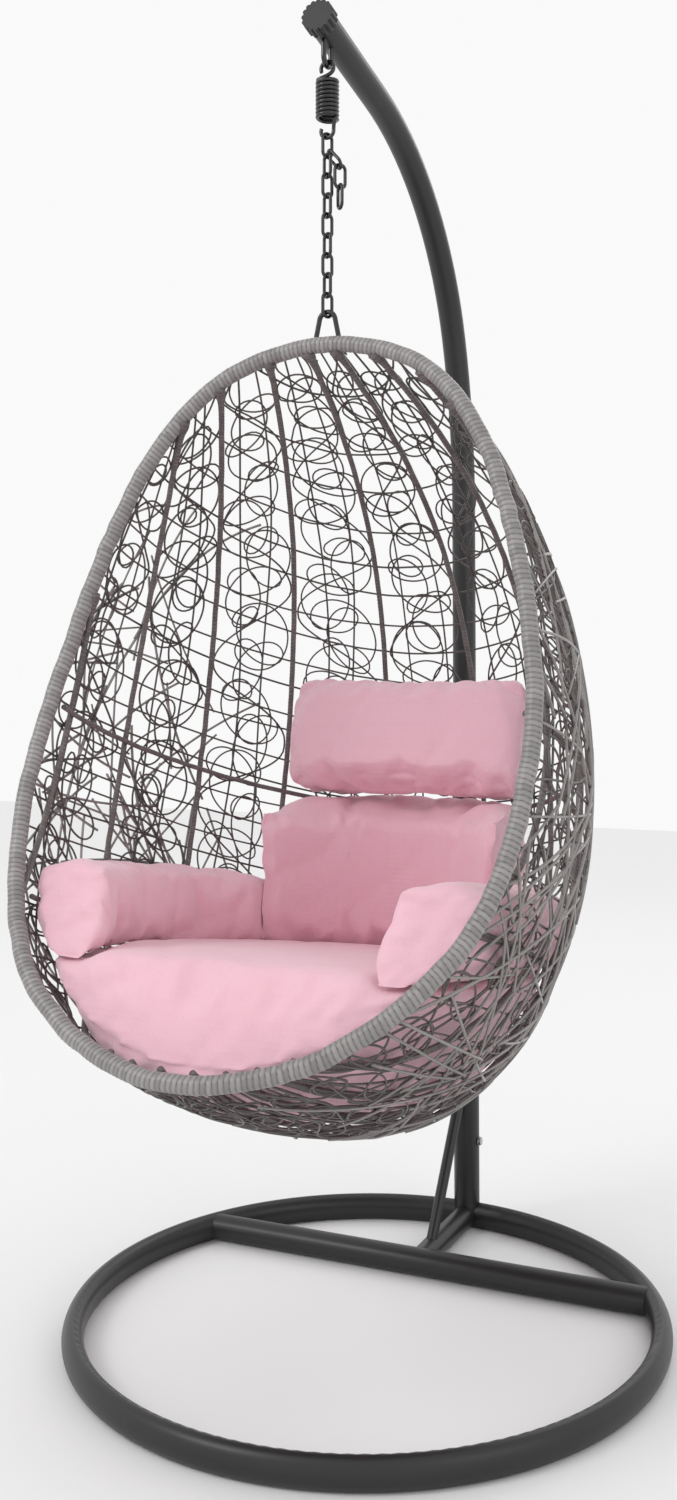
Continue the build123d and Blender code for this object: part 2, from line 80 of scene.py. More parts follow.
snap = {  # how a line is moved onto the middle of the tube that it follows
    "every": 4,
    "slice": 0.4,
    "fewest": 8,
    "boxBelow": 12,
    "smoothings": 6,
    "rimReach": 0.02,
    "ribReach": 0.0085,
    "hoopReach": 0.0075,
}


def splineThrough(places, values, endSlopes=None):
    places, values = np.asarray(places, float), np.asarray(values, float)
    if values.ndim == 1:
        values = values[:, None]
    count, gaps = len(places), np.diff(places)
    system, right = np.zeros((count, count)), np.zeros((count, values.shape[1]))
    slopes = np.diff(values, axis=0) / gaps[:, None]
    for item in range(1, count - 1):
        system[item, item - 1], system[item, item + 1] = gaps[item - 1], gaps[item]
        system[item, item] = 2 * (gaps[item - 1] + gaps[item])
        right[item] = 6 * (slopes[item] - slopes[item - 1])
    if endSlopes is None:
        system[0, 0] = system[-1, -1] = 1
    else:
        system[0, 0], system[0, 1] = 2 * gaps[0], gaps[0]
        system[-1, -1], system[-1, -2] = 2 * gaps[-1], gaps[-1]
        right[0] = 6 * (slopes[0] - np.asarray(endSlopes[0]))
        right[-1] = 6 * (np.asarray(endSlopes[1]) - slopes[-1])
    bends = np.linalg.solve(system, right)

    def at(where):
        where = np.clip(np.asarray(where, float), places[0], places[-1])
        item = np.clip(np.searchsorted(places, where) - 1, 0, count - 2)
        gap = gaps[item][..., None]
        before, after = (where - places[item])[..., None] / gap, (places[item + 1] - where)[..., None] / gap
        bending = (after ** 3 - after) * bends[item] + (before ** 3 - before) * bends[item + 1]
        return after * values[item] + before * values[item + 1] + bending * gap ** 2 / 6
    return at


levelRows = np.array(basket["levels"][::-1], float) / 1000
eggAt = splineThrough(levelRows[:, 0], levelRows[:, 1:])
eggLow, eggHigh = levelRows[0, 0], levelRows[-1, 0]
hangY = basket["hangY"] / 1000


def outsideEgg(points):
    side, middle, depth = np.moveaxis(eggAt(points[..., 2]), -1, 0)
    reach = np.hypot(points[..., 0] / side, (points[..., 1] - hangY - middle) / depth) - 1
    return np.where((points[..., 2] < eggLow) | (points[..., 2] > eggHigh), 1.0, reach)


def ontoEgg(points):
    ways = points - eggCentre
    ways = ways / np.linalg.norm(ways, axis=-1, keepdims=True)
    near, far = np.zeros(ways.shape[:-1]), np.full(ways.shape[:-1], trace["farOut"])
    for _ in range(trace["halvings"]):
        half = (near + far) / 2
        out = outsideEgg(eggCentre + ways * half[..., None]) > 0
        near, far = np.where(out, near, half), np.where(out, half, far)
    return eggCentre + ways * near[..., None]


def eggNormal(points):
    step = trace["normalStep"]
    first = points - eggCentre
    first = first / np.linalg.norm(first, axis=-1, keepdims=True)
    sideWay = np.cross(first, [0.0, 0.0, 1.0])
    sideWay = sideWay / np.maximum(np.linalg.norm(sideWay, axis=-1, keepdims=True), 1e-6)
    upWay = np.cross(sideWay, first)
    across = ontoEgg(points + sideWay * step) - ontoEgg(points - sideWay * step)
    up = ontoEgg(points + upWay * step) - ontoEgg(points - upWay * step)
    normal = np.cross(across, up)
    normal = normal / np.maximum(np.linalg.norm(normal, axis=-1, keepdims=True), 1e-9)
    return np.where((normal * first).sum(-1, keepdims=True) < 0, -normal, normal)


def lengthsAlong(points):
    return np.concatenate([[0], np.cumsum(np.linalg.norm(np.diff(points, axis=0), axis=1))])


def evenly(points, step, closed=False):
    if closed:
        points = np.vstack([points, points[:1]])
    along = lengthsAlong(points)
    count = max(int(round(along[-1] / step)), 3)
    return splineThrough(along, points)(np.linspace(0, along[-1], count + 1))


# the rim's centre line, one half from the top to the foot
mouthAt = dict((height, y) for y, height in basket["mouth"])
rimPoints = [(0, basket["hangY"] + basket["mouth"][0][0], basket["mouth"][0][1])]
for height, side, middle, depth in basket["levels"]:
    if height in mouthAt:
        share = ((mouthAt[height] - middle) / depth) ** 2
        rimPoints.append((side * math.sqrt(1 - share), basket["hangY"] + mouthAt[height], height))
rimPoints.append((0, basket["hangY"] + basket["mouth"][-1][0], basket["mouth"][-1][1]))
rimPoints = np.array(rimPoints) / 1000
rimLengths = lengthsAlong(rimPoints)
halfRim = splineThrough(rimLengths, rimPoints, ((1, 0, 0), (-1, 0, 0)))(
    np.linspace(0, rimLengths[-1], trace["rimPoints"]))
halfRim = evenly(halfRim, trace["rimStep"])


def snapToTube(points, node, reach):
    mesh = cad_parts[node].data
    corners = np.empty(len(mesh.vertices) * 3)
    mesh.vertices.foreach_get("co", corners)
    corners = corners.reshape(-1, 3)
    ways = np.gradient(points, axis=0)
    ways = ways / np.linalg.norm(ways, axis=1, keepdims=True)
    moved, known = points.copy(), []
    for item in range(0, len(points), snap["every"]):
        near = corners[np.linalg.norm(corners - points[item], axis=1) < reach]
        flat = near[np.abs((near - points[item]) @ ways[item]) < reach * snap["slice"]]
        if len(flat) > snap["fewest"]:
            middle = (flat.max(0) + flat.min(0)) / 2 if len(flat) < snap["boxBelow"] else flat.mean(0)
            shift = middle - points[item]
            known.append((item, shift - ways[item] * (shift @ ways[item])))
    if len(known) < 4:
        return points
    places = np.array([item for item, _ in known], float)
    shifts = np.array([shift for _, shift in known])
    for axis in range(3):
        moved[:, axis] += np.interp(np.arange(len(points)), places, shifts[:, axis])
    for _ in range(snap["smoothings"]):
        moved[1:-1] = (moved[:-2] + 2 * moved[1:-1] + moved[2:]) / 4
    return moved


halfRim = snapToTube(halfRim, "rim_tube", snap["rimReach"])
halfRim[0, 0] = halfRim[-1, 0] = 0
leftRim = halfRim[::-1] * [-1, 1, 1]
wholeRim = np.vstack([halfRim[:-1], leftRim[:-1]])
rimAt = splineThrough(lengthsAlong(halfRim) / lengthsAlong(halfRim)[-1], halfRim)


def ribLine(start, angle, end):
    height, side, middle, depth = np.array(basket["levels"][basket["angleLevel"]]) / 1000
    top, foot = rimAt(start), rimAt(end)
    angle = math.radians(angle)
    back = np.array([side * math.sin(angle), hangY + middle + depth * math.cos(angle), height])
    normal = np.cross(back - top, foot - top)
    normal = normal / np.linalg.norm(normal)
    centre = eggCentre - normal * ((eggCentre - top) @ normal)
    first = (top - centre) / np.linalg.norm(top - centre)
    second = np.cross(normal, first)
    if (back - centre) @ second < 0:
        second = -second
    last = math.atan2((foot - centre) @ second, (foot - centre) @ first) % (2 * math.pi)
    turns = np.linspace(0, last, trace["ribPoints"])[:, None]
    ways = first * np.cos(turns) + second * np.sin(turns)
    near, far = np.zeros(trace["ribPoints"]), np.full(trace["ribPoints"], trace["ribFarOut"])
    for _ in range(trace["halvings"]):
        half = (near + far) / 2
        out = outsideEgg(centre + ways * half[:, None]) > 0
        near, far = np.where(out, near, half), np.where(out, half, far)
    return evenly(centre + ways * near[:, None], trace["rodStep"])


def hoopLine(height):
    count = trace["hoopPoints"]
    angles = np.linspace(-math.pi, math.pi, count)
    low, high = np.full(count, eggLow), np.full(count, eggHigh)
    for _ in range(trace["halvings"]):
        half = (low + high) / 2
        side, middle, depth = np.moveaxis(eggAt(half), -1, 0)
        over = half + basket["hoopSlope"] * (middle + depth * np.cos(angles)) > height / 1000
        low, high = np.where(over, low, half), np.where(over, half, high)
    side, middle, depth = np.moveaxis(eggAt(half), -1, 0)
    return np.stack([side * np.sin(angles), hangY + middle + depth * np.cos(angles), half], -1)


mouthRows = np.array(basket["mouth"][::-1], float) / 1000
mouthYAt = splineThrough(mouthRows[:, 1], mouthRows[:, 0])


def behindMouth(points, clear=0.0):
    limit = hangY + mouthYAt(points[:, 2])[:, 0] + clear
    return (points[:, 1] > limit) | (points[:, 2] < mouthRows[0, 1] - clear)


def insideLine(points, inset):
    return points - eggNormal(points) * inset


outerRibs = [ribLine(*rib) for rib in basket["ribs"]]
ribLines, hoopLines = {}, {}
for number, line in enumerate(outerRibs, start=1):
    placed = snapToTube(insideLine(line, basket["ribInset"] / 1000), f"rib_right_{number}",
                        snap["ribReach"])
    ribLines[f"rib_right_{number}"] = placed
    ribLines[f"rib_left_{number}"] = placed * [-1, 1, 1]
for name, height in basket["hoops"].items():
    ring = hoopLine(height)
    ring = insideLine(ring[behindMouth(ring, trace["hoopFromMouth"])], basket["hoopInset"] / 1000)
    hoopLines[name] = snapToTube(evenly(ring, trace["rodStep"]), name, snap["hoopReach"])
print("basket lines ready")


# meshes that follow lines
class TubeMaker:
    def __init__(self, sides):
        self.sides, self.corners, self.faces, self.values = sides, [], [], {}
        self.total = 0

    def add(self, points, radius, closed=False, **values):
        points = np.asarray(points, float)
        if closed:
            ways = np.roll(points, -1, 0) - np.roll(points, 1, 0)
        else:
            ways = np.gradient(points, axis=0)
        ways = ways / np.maximum(np.linalg.norm(ways, axis=1, keepdims=True), 1e-9)
        start = np.cross(ways[0], [0.0, 0.0, 1.0])
        if np.linalg.norm(start) < 0.1:
            start = np.cross(ways[0], [0.0, 1.0, 0.0])
        acrossRows = [start / np.linalg.norm(start)]
        for way in ways[1:]:
            across = acrossRows[-1] - way * (acrossRows[-1] @ way)
            acrossRows.append(across / np.linalg.norm(across))
        across = np.array(acrossRows)
        if closed:  # spread the leftover turn so that the last ring meets the first
            other = across[-1] - ways[0] * (across[-1] @ ways[0])
            turn = math.atan2(np.cross(other, across[0]) @ ways[0], other @ across[0])
            spread = np.linspace(0, turn, len(points))[:, None]
            across = across * np.cos(spread) + np.cross(ways, across) * np.sin(spread)
        other = np.cross(ways, across)
        angles = np.arange(self.sides) * 2 * math.pi / self.sides
        radius = self.spread(radius, len(points))
        rings = (points[:, None] + (across[:, None] * np.cos(angles)[None, :, None]
                                    + other[:, None] * np.sin(angles)[None, :, None]) * radius[..., None])
        count, base = len(points), self.total
        self.corners.append(rings.reshape(-1, 3))
        last = count if closed else count - 1
        ringIndex = np.arange(last)[:, None] * self.sides
        nextIndex = (np.arange(last)[:, None] + 1) % count * self.sides
        side = np.arange(self.sides)[None, :]
        nextSide = (side + 1) % self.sides
        self.faces += (base + np.stack([ringIndex + side, ringIndex + nextSide, nextIndex + nextSide,
                                        nextIndex + side], -1)).reshape(-1, 4).tolist()
        if not closed:
            self.faces.append((base + np.arange(self.sides)[::-1]).tolist())
            self.faces.append((base + (count - 1) * self.sides + np.arange(self.sides)).tolist())
        for name, value in values.items():
            self.values.setdefault(name, []).append(self.spread(value, count).reshape(-1))
        self.total += count * self.sides

    def spread(self, value, count):  # one value, one per ring, or one per corner, as one per corner
        value = np.asarray(value, float)
        rows = value.reshape(len(value), -1) if value.ndim else value
        return np.broadcast_to(rows, (count, self.sides))

    def finish(self, name, material):
        mesh = bpy.data.meshes.new(name)
        mesh.from_pydata(np.vstack(self.corners).tolist(), [], self.faces)
        for attribute, parts in self.values.items():
            layer = mesh.attributes.new(attribute, "FLOAT", "POINT")
            layer.data.foreach_set("value", np.concatenate(parts).astype(np.float32))
        piece = bpy.data.objects.new(name, mesh)
        bpy.context.collection.objects.link(piece)
        piece.data.materials.append(material)
        bpy.ops.object.select_all(action="DESELECT")
        piece.select_set(True)
        bpy.context.view_layer.objects.active = piece
        bpy.ops.object.shade_smooth()
        return piece


# node groups and materials
def newGroup(name, inputs, outputs):
    group = bpy.data.node_groups.new(name, "ShaderNodeTree")
    for label, kind, value in inputs:
        socket = group.interface.new_socket(label, in_out="INPUT", socket_type=kind)
        socket.default_value = value
    for label, kind in outputs:
        group.interface.new_socket(label, in_out="OUTPUT", socket_type=kind)
    return group, group.nodes.new("NodeGroupInput"), group.nodes.new("NodeGroupOutput")


def addNode(tree, kind, **settings):
    node = tree.nodes.new(kind)
    for label, value in settings.items():
        if label in node.inputs.keys():
            node.inputs[label].default_value = value
        else:
            setattr(node, label, value)
    return node


def makeToneGroup():  # colour that drifts over the surface, with fine mottling
    tree, entry, leave = newGroup("surfaceTone", [
        ("Color", "NodeSocketColor", (0.5, 0.5, 0.5, 1)),
        ("Dark Color", "NodeSocketColor", (0.4, 0.4, 0.4, 1)),
        ("Coarse Scale", "NodeSocketFloat", 12.0), ("Fine Scale", "NodeSocketFloat", 240.0),
        ("Amount", "NodeSocketFloat", 0.5)], [("Color", "NodeSocketColor"), ("Mask", "NodeSocketFloat")])
    place = addNode(tree, "ShaderNodeTexCoord")
    coarse = addNode(tree, "ShaderNodeTexNoise", Detail=3.0)
    fine = addNode(tree, "ShaderNodeTexNoise", Detail=2.0)
    both = addNode(tree, "ShaderNodeMath", operation="MULTIPLY_ADD")
    both.inputs[1].default_value = 0.65
    soft = addNode(tree, "ShaderNodeMath", operation="MULTIPLY")
    soft.inputs[1].default_value = 0.35
    ramp = addNode(tree, "ShaderNodeMapRange")
    ramp.inputs["From Min"].default_value, ramp.inputs["From Max"].default_value = 0.3, 0.7
    share = addNode(tree, "ShaderNodeMath", operation="MULTIPLY")
    mix = addNode(tree, "ShaderNodeMix", data_type="RGBA")
    link = tree.links.new
    link(place.outputs["Object"], coarse.inputs["Vector"])
    link(place.outputs["Object"], fine.inputs["Vector"])
    link(entry.outputs["Coarse Scale"], coarse.inputs["Scale"])
    link(entry.outputs["Fine Scale"], fine.inputs["Scale"])
    link(fine.outputs["Fac"], soft.inputs[0])
    link(coarse.outputs["Fac"], both.inputs[0])
    link(soft.outputs[0], both.inputs[2])
    link(both.outputs[0], ramp.inputs["Value"])
    link(ramp.outputs["Result"], share.inputs[0])
    link(entry.outputs["Amount"], share.inputs[1])
    link(share.outputs[0], mix.inputs["Factor"])
    link(entry.outputs["Color"], mix.inputs["A"])
    link(entry.outputs["Dark Color"], mix.inputs["B"])
    link(mix.outputs["Result"], leave.inputs["Color"])
    link(share.outputs[0], leave.inputs["Mask"])
    return tree


def makeGrainGroup():  # height of a fine grain, such as powder coat or moulded plastic
    entries = [("Scale", "NodeSocketFloat", 900.0), ("Drift", "NodeSocketFloat", 0.3)]
    tree, entry, leave = newGroup("fineGrain", entries, [("Height", "NodeSocketFloat")])
    place = addNode(tree, "ShaderNodeTexCoord")
    cells = addNode(tree, "ShaderNodeTexVoronoi", feature="SMOOTH_F1")
    drift = addNode(tree, "ShaderNodeTexNoise", Scale=60.0, Detail=2.0)
    mix = addNode(tree, "ShaderNodeMath", operation="MULTIPLY_ADD")
    link = tree.links.new
    link(place.outputs["Object"], cells.inputs["Vector"])
    link(place.outputs["Object"], drift.inputs["Vector"])
    link(entry.outputs["Scale"], cells.inputs["Scale"])
    link(drift.outputs["Fac"], mix.inputs[0])
    link(entry.outputs["Drift"], mix.inputs[1])
    link(cells.outputs["Distance"], mix.inputs[2])
    link(mix.outputs[0], leave.inputs["Height"])
    return tree


toneGroup, grainGroup = makeToneGroup(), makeGrainGroup()


def newMaterial(name, color, dark, roughness, amount=0.5, coarse=12.0, fine=240.0, grain=900.0, bump=0.1,
                bumpDistance=0.0002, metallic=0.0, coat=0.0, sheen=0.0, roughSpread=0.1):
    material = bpy.data.materials.new(name)
    material.use_nodes = True
    tree = material.node_tree
    shader = tree.nodes["Principled BSDF"]
    shader.inputs["Metallic"].default_value = metallic
    shader.inputs["Coat Weight"].default_value = coat
    shader.inputs["Coat Roughness"].default_value = 0.25
    shader.inputs["Sheen Weight"].default_value = sheen
    shader.inputs["Sheen Roughness"].default_value = 0.6
    tone = addNode(tree, "ShaderNodeGroup", node_tree=toneGroup)
    tone.inputs["Color"].default_value, tone.inputs["Dark Color"].default_value = (*color, 1), (*dark, 1)
    tone.inputs["Coarse Scale"].default_value, tone.inputs["Fine Scale"].default_value = coarse, fine
    tone.inputs["Amount"].default_value = amount
    rough = addNode(tree, "ShaderNodeMapRange")
    rough.inputs["To Min"].default_value = roughness - roughSpread / 2
    rough.inputs["To Max"].default_value = roughness + roughSpread / 2
    height = addNode(tree, "ShaderNodeGroup", node_tree=grainGroup)
    height.inputs["Scale"].default_value = grain
    lump = addNode(tree, "ShaderNodeBump", Strength=bump, Distance=bumpDistance)
    tree.links.new(tone.outputs["Color"], shader.inputs["Base Color"])
    tree.links.new(tone.outputs["Mask"], rough.inputs["Value"])
    tree.links.new(rough.outputs["Result"], shader.inputs["Roughness"])
    tree.links.new(height.outputs["Height"], lump.inputs["Height"])
    tree.links.new(lump.outputs["Normal"], shader.inputs["Normal"])
    return material


def bandMaterial(name, color, dark, groove, roughness):  # wound band or strand, its tone set by attributes; gap mixes in painted shade for the grooves between turns
    material = newMaterial(name, color, dark, roughness, amount=0.55, coarse=9.0, fine=320.0, grain=420.0,
                           bump=0.12)
    tree = material.node_tree
    shader = tree.nodes["Principled BSDF"]
    tone = next(node for node in tree.nodes if node.type == "GROUP" and node.node_tree == toneGroup)
    bandTone = addNode(tree, "ShaderNodeAttribute", attribute_name="bandTone")
    gap = addNode(tree, "ShaderNodeAttribute", attribute_name="gap")
    shift = addNode(tree, "ShaderNodeHueSaturation")
    level = addNode(tree, "ShaderNodeMapRange")
    level.inputs["To Min"].default_value, level.inputs["To Max"].default_value = 0.80, 1.16
    mix = addNode(tree, "ShaderNodeMix", data_type="RGBA")
    # painted shade: the groove colour darkens the grooves between the band's turns
    mix.inputs["B"].default_value = (*groove, 1)
    tree.links.new(bandTone.outputs["Fac"], level.inputs["Value"])
    tree.links.new(level.outputs["Result"], shift.inputs["Value"])
    tree.links.new(tone.outputs["Color"], shift.inputs["Color"])
    tree.links.new(gap.outputs["Fac"], mix.inputs["Factor"])
    tree.links.new(shift.outputs["Color"], mix.inputs["A"])
    tree.links.new(mix.outputs["Result"], shader.inputs["Base Color"])
    return material


def cottonMaterial(name, color, dark):
    material = newMaterial(name, color, dark, 0.86, amount=0.35, coarse=5.0, fine=90.0, bump=0.0, sheen=0.35)
    tree = material.node_tree
    shader = tree.nodes["Principled BSDF"]
    lump = next(node for node in tree.nodes if node.type == "BUMP")
    place = addNode(tree, "ShaderNodeTexCoord")
    heights = []
    for direction in ("X", "Z", "Y"):  # threads both ways of a plain weave
        threads = addNode(tree, "ShaderNodeTexWave", bands_direction=direction, Scale=38.0, Distortion=1.2)
        threads.inputs["Detail Scale"].default_value = 3.0
        tree.links.new(place.outputs["Object"], threads.inputs["Vector"])
        heights.append(threads)
    first = addNode(tree, "ShaderNodeMath", operation="MAXIMUM")
    second = addNode(tree, "ShaderNodeMath", operation="MAXIMUM")
    rumples = addNode(tree, "ShaderNodeTexNoise", Scale=26.0, Detail=4.0, Distortion=0.8)
    both = addNode(tree, "ShaderNodeMath", operation="MULTIPLY_ADD")
    both.inputs[1].default_value = 5.0
    tree.links.new(heights[0].outputs["Fac"], first.inputs[0])
    tree.links.new(heights[1].outputs["Fac"], first.inputs[1])
    tree.links.new(first.outputs[0], second.inputs[0])
    tree.links.new(heights[2].outputs["Fac"], second.inputs[1])
    tree.links.new(place.outputs["Object"], rumples.inputs["Vector"])
    tree.links.new(rumples.outputs["Fac"], both.inputs[0])
    tree.links.new(second.outputs[0], both.inputs[2])
    tree.links.new(both.outputs[0], lump.inputs["Height"])
    lump.inputs["Strength"].default_value, lump.inputs["Distance"].default_value = 0.45, 0.0006
    tree.links.new(lump.outputs["Normal"], shader.inputs["Normal"])
    return material


charcoal = newMaterial("charcoalPowderCoat", (0.016, 0.016, 0.017), (0.010, 0.010, 0.011), 0.40,
                       coarse=7.0, grain=1300.0, bump=0.10, bumpDistance=0.0001)
enamel = newMaterial("blackEnamel", (0.006, 0.006, 0.007), (0.014, 0.013, 0.012), 0.24,
                     coarse=60.0, grain=500.0, bump=0.06, bumpDistance=0.0002, coat=0.3)
zinc = newMaterial("zincPlate", (0.55, 0.54, 0.52), (0.34, 0.33, 0.31), 0.33,
                   coarse=160.0, fine=900.0, metallic=1.0, bump=0.05)
plastic = newMaterial("blackPlastic", (0.018, 0.018, 0.019), (0.030, 0.030, 0.031), 0.45,
                      coarse=50.0, grain=1600.0, bump=0.15, bumpDistance=0.0001)
# the third colour is painted shade for the grooves between the band's turns
rimBand = bandMaterial("greyBand", (0.290, 0.278, 0.272), (0.200, 0.188, 0.182),
                       (0.040, 0.034, 0.032), 0.42)
rodBand = bandMaterial("brownGreyBand", (0.170, 0.147, 0.145), (0.110, 0.093, 0.090),
                       (0.040, 0.033, 0.030), 0.50)
strand = bandMaterial("wovenStrand", (0.100, 0.086, 0.082), (0.040, 0.034, 0.032),
                      (0.035, 0.030, 0.028), 0.36)
# painted highlight: a lighter copy of the strand colour, standing in for the light the outer strands catch
outerStrandPaintedHighlight = bandMaterial("outerStrandPaintedHighlight", (0.270, 0.254, 0.246), (0.120, 0.108, 0.103),
                           (0.035, 0.030, 0.028), 0.30)
cotton = cottonMaterial("pinkCotton", (0.800, 0.475, 0.560), (0.750, 0.405, 0.490))
print("materials ready")

nodeMaterials = {
    charcoal: ["base_ring", "cross_bar", "base_spur", "socket_post", "brace_rod", "curved_arm"],
    zinc: ["socket_bolt", "bolt_nut"],
    plastic: ["arm_end_cap"],
    enamel: ["hanging_eye", "chain_top_links", "chain_tail_link", "chain_tail", "chain_links",
             "chain_bottom_link", "hanging_arch"],
}
for material, names in nodeMaterials.items():
    for name in names:
        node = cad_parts[name]
        node.data.materials.clear()
        node.data.materials.append(material)


# wound bands on the rim, ribs and hoops
winding = {
    "rimBand": 0.0072,  # width of one turn
    "rodBand": 0.0062,
    "rimRings": 6,  # mesh rings in one turn
    "rodRings": 4,
    "grooveDepth": 0.0007,
    "rodGroove": 0.00035,
    "ribRadius": 0.0045,
    "hoopRadius": 0.004,
    "collarStart": 0.012,  # a rib's top end flares where it meets the rim
    "collarLength": 0.011,
    "ribFlare": 0.0042,
    "grooveSharpness": 5,
    # how strongly painted shade darkens the grooves between turns
    "grooveShade": 0.95,
    "looseness": 0.012,
    "rimSides": 14,
    "rodSides": 8,
    "seed": 4,
}


def windBand(maker, points, radius, band, groove, closed, rng, flare=0.0):
    perBand = winding["rimRings"] if closed else winding["rodRings"]
    points = evenly(points, band / perBand, closed)
    if closed:
        points = points[:-1]
    along = lengthsAlong(points)
    toEnd = np.maximum(along - winding["collarStart"], 0)[:, None]
    radius = radius + flare * np.exp(-toEnd / winding["collarLength"])
    angles = np.arange(maker.sides)[None, :] / maker.sides
    turns = round(along[-1] / band) * along[:, None] / (along[-1] + band / perBand) + angles if closed else (
        along[:, None] / band + angles)
    share = turns % 1
    edge = np.abs(2 * share - 1) ** winding["grooveSharpness"]
    tones = rng.uniform(0, 1, int(turns.max()) + 2)
    loose = 1 + rng.uniform(-0.5, 1, int(turns.max()) + 2)[turns.astype(int)] * winding["looseness"]
    # gap carries painted shade into the grooves between turns
    maker.add(points, radius * loose - groove * edge, closed, bandTone=tones[turns.astype(int)],
              gap=edge * winding["grooveShade"])


bandRng = np.random.default_rng(winding["seed"])
maker = TubeMaker(winding["rimSides"])
windBand(maker, wholeRim, basket["rimRadius"] / 1000, winding["rimBand"], winding["grooveDepth"], True,
         bandRng)
rimPiece = maker.finish("rimWinding", rimBand)
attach(rimPiece, "basket")
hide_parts("rim_tube")

for side in ("left", "right"):
    maker = TubeMaker(winding["rodSides"])
    for number in range(1, 6):
        windBand(maker, ribLines[f"rib_{side}_{number}"], winding["ribRadius"], winding["rodBand"],
                 winding["rodGroove"], False, bandRng, winding["ribFlare"])
    ribPiece = maker.finish(f"{side}RibWinding", rodBand)
    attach(ribPiece, "basket")
    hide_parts(*[f"rib_{side}_{number}" for number in range(1, 6)])
maker = TubeMaker(winding["rodSides"])
for line in hoopLines.values():
    windBand(maker, line, winding["hoopRadius"], winding["rodBand"], winding["rodGroove"], False, bandRng)
hoopPiece = maker.finish("hoopWinding", rodBand)
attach(hoopPiece, "basket")
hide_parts("back_hoop", "seat_hoop")
print("bands wound")

# woven strands of the skin
weave = {
    "strandRadius": 0.0016,
    "radiusSpread": (0.9, 1.08),
    "insets": {"loops": 0.0014, "rows": 0.0024, "uprights": 0.0032, "diagonals": 0.0004},
    "edgeGap": 0.010,  # from the mouth to a strand's end
    "seed": 11,
}
rows = {
    "top": 1.475,
    "low": 0.20,
    "step": 0.041,  # height between the strands that run round the basket
    "jitter": 5,
    "wave": 0.004,
    "waveLength": 0.11,
    "weaving": 0.0011,  # in and out between the uprights
    "weavingLength": 0.017,
    "highGap": 0.004,
    "lowGap": 0.003,
    "fewest": 12,
    "detail": 0.008,
}
weaveRng = np.random.default_rng(weave["seed"])


def ontoSkin(points, inset):
    points = ontoEgg(points)
    return points - eggNormal(points) * (inset[..., None] if np.ndim(inset) else inset)


def addStrand(maker, points, step=0.007):
    maker.add(evenly(points, step), weave["strandRadius"] * weaveRng.uniform(*weave["radiusSpread"]),
              bandTone=weaveRng.uniform(0, 1), gap=0.0)


def splitRuns(points, kept):
    runs, run = [], []
    for point, keep in zip(points, kept):
        if keep:
            run.append(point)
        elif run:
            runs.append(run)
            run = []
    if run:
        runs.append(run)
    return [np.array(run) for run in runs if len(run) > 5]


rowMaker = TubeMaker(6)
height = rows["top"]
while height > rows["low"]:
    ring = hoopLine(height * 1000 + weaveRng.uniform(-rows["jitter"], rows["jitter"]))
    inRange = (ring[:, 2] < eggHigh - rows["highGap"]) & (ring[:, 2] > eggLow + rows["lowGap"])
    ring = ring[np.isfinite(ring).all(1) & inRange]
    if len(ring) > rows["fewest"]:
        phase = weaveRng.uniform(0, 6.28)
        along = lengthsAlong(ring)
        ring[:, 2] += rows["wave"] * np.sin(along / rows["waveLength"] + phase)
        for run in splitRuns(ring, behindMouth(ring, weave["edgeGap"])):
            weaving = rows["weaving"] * np.sin(lengthsAlong(run) / rows["weavingLength"] + phase)
            addStrand(rowMaker, ontoSkin(run, weave["insets"]["rows"] + weaving), rows["detail"])
    height -= rows["step"]
rowPiece = rowMaker.finish("weaveRows", strand)

# bays lie between neighbouring rails: the ribs, and the rim beside the last full rib
bays = {
    "rimStart": 0.185,  # the part of the rim that is a rail, as shares of its half
    "rimEnd": 0.885,
    "railPoints": 260,
    "twoColumns": 0.27,  # a bay wider than this has two columns of loops
}
rimRail = halfRim[int(bays["rimStart"] * len(halfRim)):int(bays["rimEnd"] * len(halfRim))]
rightRails = [rimRail] + outerRibs[3::-1]
allRails = [rail * [-1, 1, 1] for rail in rightRails] + rightRails[::-1]


def resample(rail, count):
    lengths = lengthsAlong(rail)
    return splineThrough(lengths / lengths[-1], rail)(np.linspace(0, 1, count))


def bayFrame(first, second):  # matched points on two rails, evenly spaced along the bay
    one, two = resample(first, bays["railPoints"]), resample(second, bays["railPoints"])
    return one, two, lengthsAlong(ontoEgg((one + two) / 2))


def bayPoints(one, two, along, where, share):  # where in metres down the bay, share 0 to 1 across it
    item = np.interp(where, along, np.arange(len(along)))
    lower = np.clip(item.astype(int), 0, len(along) - 2)
    part = (item - lower)[:, None]
    left = one[lower] * (1 - part) + one[lower + 1] * part
    right = two[lower] * (1 - part) + two[lower + 1] * part
    return left * (1 - share[:, None]) + right * share[:, None]


uprights = {
    "shares": (0.34, 0.67),  # places across a bay
    "endGap": 0.012,
    "points": 160,
    "sway": 0.05,
    "swayLength": 0.13,
    "jitter": 0.03,
    "detail": 0.01,
}
loopSizes = {
    "half": 0.040,  # half the size of one loop
    "step": 0.066,  # from one loop to the next down a bay
    "points": 26,
    "spread": (0.68, 1.18),
    "phase": 0.5,
    "bayGap": 0.02,
    "endGap": 0.006,
    "widest": 0.46,  # half a loop's width as a share of its column
    "sway": 0.16,
    "swayTurns": 2.3,
    "lift": 0.0012,
    "liftTurns": 1.7,
    "detail": 0.0075,
}
diagonals = {
    "count": 1,
    "step": 0.26,
    "endGap": 0.01,
    "spacing": 0.012,
    "reach": 0.46,
    "roundness": 1.45,
    "wobble": 0.2,
    "wobbleLength": 0.05,
    "detail": 0.009,
}


